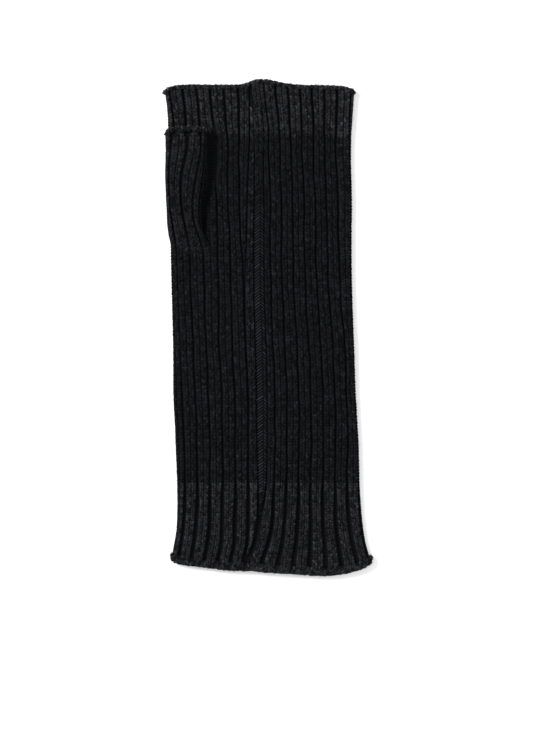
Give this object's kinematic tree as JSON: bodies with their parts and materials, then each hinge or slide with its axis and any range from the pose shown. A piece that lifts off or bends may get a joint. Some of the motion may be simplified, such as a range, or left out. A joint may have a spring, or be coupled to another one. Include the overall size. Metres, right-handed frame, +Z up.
{
  "type": "ribbed arm warmer",
  "caption": "Fingerless arm warmer in knitted rib, laid flat, with an open thumb tube, a seam down the palm, a bound-off finger edge and a rolled edge at the arm.",
  "frame": {"origin": "middle of the underside, on the surface that it lies on", "axes": "+X to the right of the palm side, +Y along the arm towards the fingers, +Z up from the surface"},
  "size_m": [0.1164, 0.2738, 0.0115],
  "materials": {
    "body_yarn": "near-black woollen rib knit with faint grey flecks",
    "seam_yarn": "near-black herringbone seam stitches",
    "border_yarn": "charcoal marl rib knit"
  },
  "bodies": {
    "root": {"ribbed_tube": "body_yarn", "thumb_tube": "body_yarn", "palm_seam": "seam_yarn", "finger_edge": "border_yarn", "thumb_edge": "border_yarn", "arm_edge": "border_yarn"}
  },
  "joints": []
}
